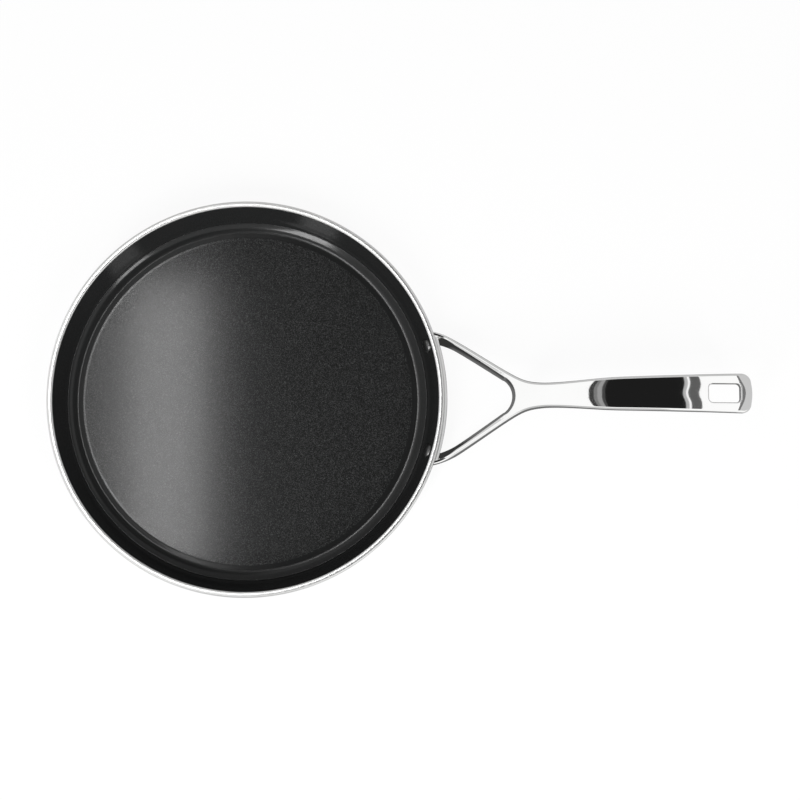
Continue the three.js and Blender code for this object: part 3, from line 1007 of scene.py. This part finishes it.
# Tones of the cards, and how much less the shade under the fork slants by the near arm
FAR_GREY = 0.55
END_GREY = 0.58
LEFT_GREY = 0.66
END_SHADE = 0.18
NEAR_ARM_EASE = 0.16

# Lamps
SOFTBOX_X = -214
SOFTBOX_Y = 98
SOFTBOX_WIDTH = 104
SOFTBOX_LENGTH = 425
SOFTBOX_RADIANCE = 11
SPILL_WIDTH = 180
SPILL_RADIANCE = 1.4
STRIP_WIDTH = 260

# Camera, with its turn in degrees
CAMERA_PLACE = (100, -136.1, 1500)
CAMERA_TURN = (5.2, -0.332, -0.248)
LENS = 94.75
SENSOR_WIDTH = 36
CAMERA_REACH = 20000


def add_card(name, corners, material):
    mesh = bpy.data.meshes.new(name)
    mesh.from_pydata((np.array(corners) * MM).tolist(), [], [(0, 1, 2, 3)])
    mesh.materials.append(material)
    card = bpy.data.objects.new(name, mesh)
    bpy.context.scene.collection.objects.link(card)
    return card


def flat_corners(x_range, y_range, z):
    (left, right), (near, far) = x_range, y_range
    return [(left, near, z), (right, near, z), (right, far, z), (left, far, z)]


def wall_along_x(x_range, y, top):
    left, right = x_range
    return [(left, y, 0), (right, y, 0), (right, y, top), (left, y, top)]


def wall_along_y(x, y_range, z_range):
    (near, far), (low, high) = y_range, z_range
    return [(x, near, low), (x, far, low), (x, far, high), (x, near, high)]


def seen_in_reflections_only(card):
    card.visible_camera = False
    card.visible_diffuse = False
    card.visible_transmission = False
    card.visible_volume_scatter = False
    card.visible_shadow = False


def white_to_eye_and_metal(tree):
    """A mask that is 1 for camera, glossy and transmission rays."""
    path = tree.nodes.new("ShaderNodeLightPath")
    mask = math_node(tree, "MAXIMUM", path.outputs["Is Camera Ray"], path.outputs["Is Glossy Ray"])
    return math_node(tree, "MAXIMUM", mask, path.outputs["Is Transmission Ray"])


def build_floor():
    """White paper that takes the pan's shadow, and is clear from below."""
    material, nodes, links, shader = new_material("pale_paper")
    shader.inputs["Base Color"].default_value = (PAPER_GREY, PAPER_GREY, PAPER_GREY, 1)
    shader.inputs["Roughness"].default_value = PAPER_ROUGHNESS
    shader.inputs["Specular IOR Level"].default_value = PAPER_SPECULAR
    glow = nodes.new("ShaderNodeEmission")
    glow.inputs["Strength"].default_value = PAPER_WHITE
    paper = nodes.new("ShaderNodeMixShader")
    mask = white_to_eye_and_metal(material.node_tree)
    share = math_node(material.node_tree, "MULTIPLY", mask, PAPER_WHITE_SHARE)
    links.new(share, paper.inputs["Fac"])
    links.new(shader.outputs["BSDF"], paper.inputs[1])
    links.new(glow.outputs["Emission"], paper.inputs[2])
    clear = nodes.new("ShaderNodeBsdfTransparent")
    side = nodes.new("ShaderNodeNewGeometry")
    from_below = nodes.new("ShaderNodeMixShader")
    links.new(side.outputs["Backfacing"], from_below.inputs["Fac"])
    links.new(paper.outputs[0], from_below.inputs[1])
    links.new(clear.outputs[0], from_below.inputs[2])
    links.new(from_below.outputs[0], nodes["Material Output"].inputs["Surface"])
    reach = (-FLOOR_REACH, FLOOR_REACH)
    add_card("floor_paper", flat_corners(reach, reach, -FLOOR_DROP), material)


def glowing(name, strength=1):
    """A flat tone for a card that only shows in reflections."""
    material, nodes, links, shader = new_material(name)
    nodes.remove(shader)
    glow = nodes.new("ShaderNodeEmission")
    glow.inputs["Strength"].default_value = strength
    links.new(glow.outputs["Emission"], nodes["Material Output"].inputs["Surface"])
    return material, nodes, links, glow


def place_along_axes(nodes, links):
    """A card's own X, Y and Z, in metres."""
    place = nodes.new("ShaderNodeTexCoord")
    parts = nodes.new("ShaderNodeSeparateXYZ")
    links.new(place.outputs["Object"], parts.inputs[0])
    return parts.outputs


def add_tones(nodes, links, glow, measure, stops, interpolation):
    """Tones of a card by a measure in metres. A stop is a place in millimetres and its tone."""
    low, high = stops[0][0], stops[-1][0]
    share = nodes.new("ShaderNodeMapRange")
    links.new(measure, share.inputs["Value"])
    share.inputs["From Min"].default_value = low * MM
    share.inputs["From Max"].default_value = high * MM
    ramp = nodes.new("ShaderNodeValToRGB")
    ramp.color_ramp.interpolation = interpolation
    steps = ramp.color_ramp.elements
    for i, (start, tone) in enumerate(stops):
        position = (start - low) / (high - low)
        step = steps[i] if i < len(steps) else steps.new(position)
        step.position = position
        step.color = (tone, tone, tone, 1)
    links.new(share.outputs["Result"], ramp.inputs["Fac"])
    links.new(ramp.outputs["Color"], glow.inputs["Color"])


def rig_bands():
    """Tones of the rig over the table, as bands along X: where each starts, and its tone."""
    bands = [
        (RIG_START, 0.05),
        (-98, 0.2),
        (-66, 0.32),
        (-28, 0.06),
        (0, 0.012),
        (656, 0.45),
        (685, 0.95),
        (708, 0.11),
    ]
    material, nodes, links, glow = glowing("rig_bands")
    x, _, _ = place_along_axes(nodes, links)
    add_tones(nodes, links, glow, x, bands, "CONSTANT")
    return material


def fork_shade():
    """Painted shade on the table under the fork, seen only in reflections: dark where the fork's arms
    mirror it near their top, lighter lower down.
    """
    shades = [(-0.3, 0.15), (1.9, 0.035)]
    reach = math.tan(2 * math.atan2(ARM_INNER_DRAFT, (FOOT_HEIGHT + NECK_THICKNESS) / 2))
    foot_mark = reach * (FOOT_TOP - FOOT_HEIGHT)
    climb = reach * math.tan(NECK_RISE)
    across = math.cos(ARM_ANGLE) - climb * math.sin(ARM_ANGLE) * math.cos(ARM_ANGLE)
    along = across * math.tan(ARM_ANGLE) + climb
    start = across * (FORK_HALF - ARM_WIDTH / math.cos(ARM_ANGLE) + ARM_START * math.tan(ARM_ANGLE))
    start += climb * FORK_START - foot_mark
    material, nodes, links, glow = glowing("fork_shade")
    tree = material.node_tree
    x, y, _ = place_along_axes(nodes, links)
    far_side = math_node(tree, "MULTIPLY", y, across)
    near_side = math_node(tree, "MULTIPLY", y, NEAR_ARM_EASE - across)
    aside = math_node(tree, "MAXIMUM", far_side, near_side)
    inward = math_node(tree, "ADD", math_node(tree, "MULTIPLY", x, along), aside)
    depth = math_node(tree, "SUBTRACT", start * MM, inward)
    add_tones(nodes, links, glow, depth, shades, "LINEAR")
    return material


def build_cards():
    overhead = CEILING + CEILING_GAP
    rig = flat_corners((RIG_START, RIG_END), (RIG_NEAR, CEILING_HALF), overhead)
    left_range = (LEFT_CEILING_START, LEFT_CEILING_END)
    left_ceiling = flat_corners(left_range, (-CEILING_HALF, CEILING_HALF), overhead)
    by_handle = (-FLAG_HALF, FLAG_HALF)
    table = flat_corners((FLAG_START, FLAG_END), by_handle, CARD_LIFT)
    left_table = flat_corners((NEAR_WALL_START, FLAG_START), by_handle, CARD_LIFT)
    end_table = flat_corners((FLAG_END, END_WALL_X), (END_TABLE_NEAR, FLAG_HALF), CARD_LIFT)
    far_table = flat_corners((FAR_TABLE_START, END_WALL_X), (FLAG_HALF, FAR_WALL_Y), CARD_LIFT)
    far_wall = wall_along_x((-FAR_WALL_HALF, FAR_WALL_HALF), FAR_WALL_Y, FAR_WALL_TOP)
    near_range = (NEAR_WALL_START, NEAR_WALL_END)
    near_table = flat_corners(near_range, (NEAR_WALL_Y, -FLAG_HALF), CARD_LIFT)
    near_wall = wall_along_x(near_range, NEAR_WALL_Y, CEILING)
    end_range = (END_WALL_NEAR, FAR_WALL_Y)
    end_wall = wall_along_y(END_WALL_X, end_range, (0, END_WALL_TOP))
    end_flag = wall_along_y(END_WALL_X, end_range, (END_WALL_TOP, END_FLAG_TOP))
    far_grey, end_grey = glowing("far_grey", FAR_GREY)[0], glowing("end_grey", END_GREY)[0]
    for name, corners, material in (
        ("ceiling_rig", rig, rig_bands()),
        ("left_ceiling", left_ceiling, glowing("left_grey", LEFT_GREY)[0]),
        ("table_flag", table, fork_shade()),
        ("end_flag", end_flag, glowing("end_shade", END_SHADE)[0]),
        ("far_table", far_table, far_grey),
        ("end_table", end_table, end_grey),
        ("far_wall", far_wall, far_grey),
        ("near_wall", near_wall, far_grey),
        ("near_table", near_table, far_grey),
        ("left_table", left_table, far_grey),
        ("end_wall", end_wall, end_grey),
    ):
        seen_in_reflections_only(add_card(name, corners, material))


def without_glare(name, pieces):
    """A set for a lamp that leaves out bright metal, which mirrors the white room instead."""
    spared = bpy.data.collections.new(name)
    for piece in pieces:
        spared.objects.link(piece)
    for member in spared.collection_objects:
        member.light_linking.link_state = "EXCLUDE"
    return spared


def add_softbox(name, place, aim, width, height, radiance, receivers):
    """A rectangular area lamp. Its power gives the wanted radiance over its face."""
    lamp = bpy.data.lights.new(name, "AREA")
    lamp.shape = "RECTANGLE"
    lamp.size, lamp.size_y = width * MM, height * MM
    lamp.energy = radiance * math.pi * lamp.size * lamp.size_y
    softbox = bpy.data.objects.new(name, lamp)
    bpy.context.scene.collection.objects.link(softbox)
    way = (np.array(aim) - np.array(place)) * MM
    softbox.location = np.array(place) * MM
    softbox.rotation_euler = Vector(way).to_track_quat("-Z", "Y").to_euler()
    softbox.light_linking.receiver_collection = receivers


def build_overhead_lamps(handle):
    """A bright softbox at the left, and a dim spill beside it."""
    all_but_handle = without_glare("spared_from_overhead", handle)
    spill_x = SOFTBOX_X - (SOFTBOX_WIDTH + SPILL_WIDTH) / 2
    for name, x, width, radiance in (
        ("overhead_softbox", SOFTBOX_X, SOFTBOX_WIDTH, SOFTBOX_RADIANCE),
        ("overhead_spill", spill_x, SPILL_WIDTH, SPILL_RADIANCE),
    ):
        place, aim = (x, SOFTBOX_Y, CEILING), (x, SOFTBOX_Y, 0)
        add_softbox(name, place, aim, width, SOFTBOX_LENGTH, radiance, all_but_handle)


def build_near_strips(shell, handle):
    """Two strip lamps on the near side, at the ceiling's distance from the pan."""
    all_but_steel = without_glare("spared_from_strips", [shell, *handle])
    for name, azimuth, rise, length, radiance in (
        ("near_left_strip", 240, 45, 1100, 16),
        ("near_right_strip", 312, 40, 900, 11),
    ):
        turn, lift = math.radians(azimuth), math.radians(rise)
        level = CEILING * math.cos(lift)
        place = (level * math.cos(turn), level * math.sin(turn), CEILING * math.sin(lift))
        add_softbox(name, place, (0, 0, 0), STRIP_WIDTH, length, radiance, all_but_steel)


def build_world():
    world = bpy.data.worlds.new("studio")
    world.use_nodes = True
    bpy.context.scene.world = world
    tree = world.node_tree
    mask = white_to_eye_and_metal(tree)
    strength = math_node(tree, "ADD", math_node(tree, "MULTIPLY", mask, 1 - AMBIENT), AMBIENT)
    tree.links.new(strength, tree.nodes["Background"].inputs["Strength"])
    tree.nodes["Background"].inputs["Color"].default_value = (1, 1, 1, 1)


def build_camera():
    data = bpy.data.cameras.new("camera")
    data.sensor_width = SENSOR_WIDTH
    data.lens = LENS
    data.clip_end = CAMERA_REACH * MM
    camera = bpy.data.objects.new("camera", data)
    camera.location = np.array(CAMERA_PLACE) * MM
    camera.rotation_mode = "ZXY"
    camera.rotation_euler = [math.radians(a) for a in CAMERA_TURN]
    bpy.context.scene.collection.objects.link(camera)
    bpy.context.scene.camera = camera


shell = build_pan()
build_plies()
build_rivets()
handle = build_handle()
build_floor()
build_cards()
build_overhead_lamps(handle)
build_near_strips(shell, handle)
build_world()
build_camera()
bpy.context.scene.view_settings.view_transform = "Standard"
